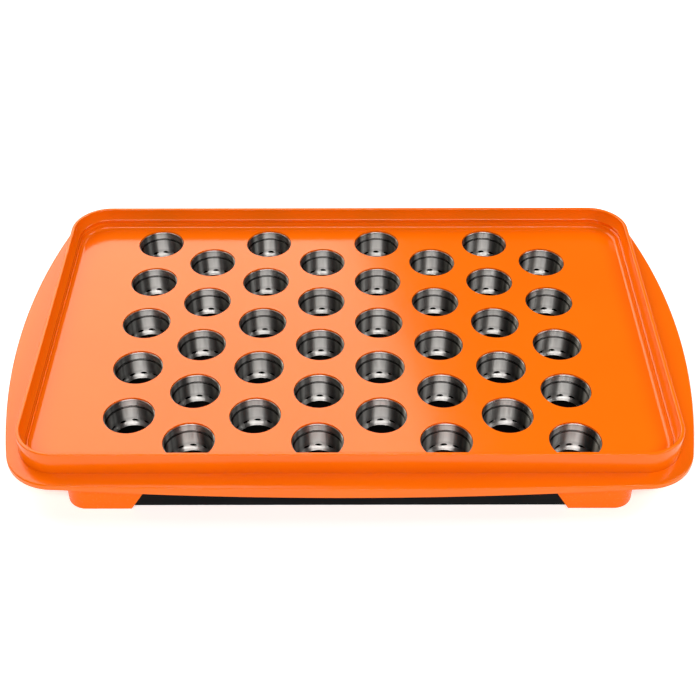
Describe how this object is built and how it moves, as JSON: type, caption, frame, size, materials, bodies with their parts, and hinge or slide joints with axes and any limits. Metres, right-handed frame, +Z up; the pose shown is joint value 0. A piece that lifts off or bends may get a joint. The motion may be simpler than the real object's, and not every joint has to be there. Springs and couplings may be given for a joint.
{
  "type": "plug tray",
  "caption": "Rigid moulded tray with steel-lined round wells in a staggered pattern, an upstanding rim, end grips, feet, and a water pan underneath.",
  "frame": {"origin": "middle of the object's outline, on the plane it stands on", "axes": "+Z up, +X right along the rows of wells, +Y from the front to the back"},
  "size_m": [0.5844, 0.375, 0.0562],
  "materials": {
    "frame_plastic": "smooth moulded",
    "deck_plastic": "smooth moulded",
    "liner_steel": "polished inside",
    "screw_steel": "zinc plated",
    "pan_plastic": "fine grain"
  },
  "bodies": {
    "pan": {"water_pan": "pan_plastic"},
    "tray": {"frame": "frame_plastic", "foot_left": "frame_plastic", "foot_right": "frame_plastic", "deck_plate": "deck_plastic", "liner_01": "liner_steel", "liner_02": "liner_steel", "liner_03": "liner_steel", "liner_04": "liner_steel", "liner_05": "liner_steel", "liner_06": "liner_steel", "liner_07": "liner_steel", "liner_08": "liner_steel", "liner_09": "liner_steel", "liner_10": "liner_steel", "liner_11": "liner_steel", "liner_12": "liner_steel", "liner_13": "liner_steel", "liner_14": "liner_steel", "liner_15": "liner_steel", "liner_16": "liner_steel", "liner_17": "liner_steel", "liner_18": "liner_steel", "liner_19": "liner_steel", "liner_20": "liner_steel", "liner_21": "liner_steel", "liner_22": "liner_steel", "liner_23": "liner_steel", "liner_24": "liner_steel", "liner_25": "liner_steel", "liner_26": "liner_steel", "liner_27": "liner_steel", "liner_28": "liner_steel", "liner_29": "liner_steel", "liner_30": "liner_steel", "liner_31": "liner_steel", "liner_32": "liner_steel", "liner_33": "liner_steel", "liner_34": "liner_steel", "liner_35": "liner_steel", "liner_36": "liner_steel", "liner_37": "liner_steel", "liner_38": "liner_steel", "liner_39": "liner_steel", "liner_40": "liner_steel", "deck_screws": "screw_steel"}
  },
  "joints": [
    {"name": "tray_lift", "type": "slide", "parent": "pan", "child": "tray", "axis": [0, 0, 1], "range_m": [0, 0.07]}
  ]
}
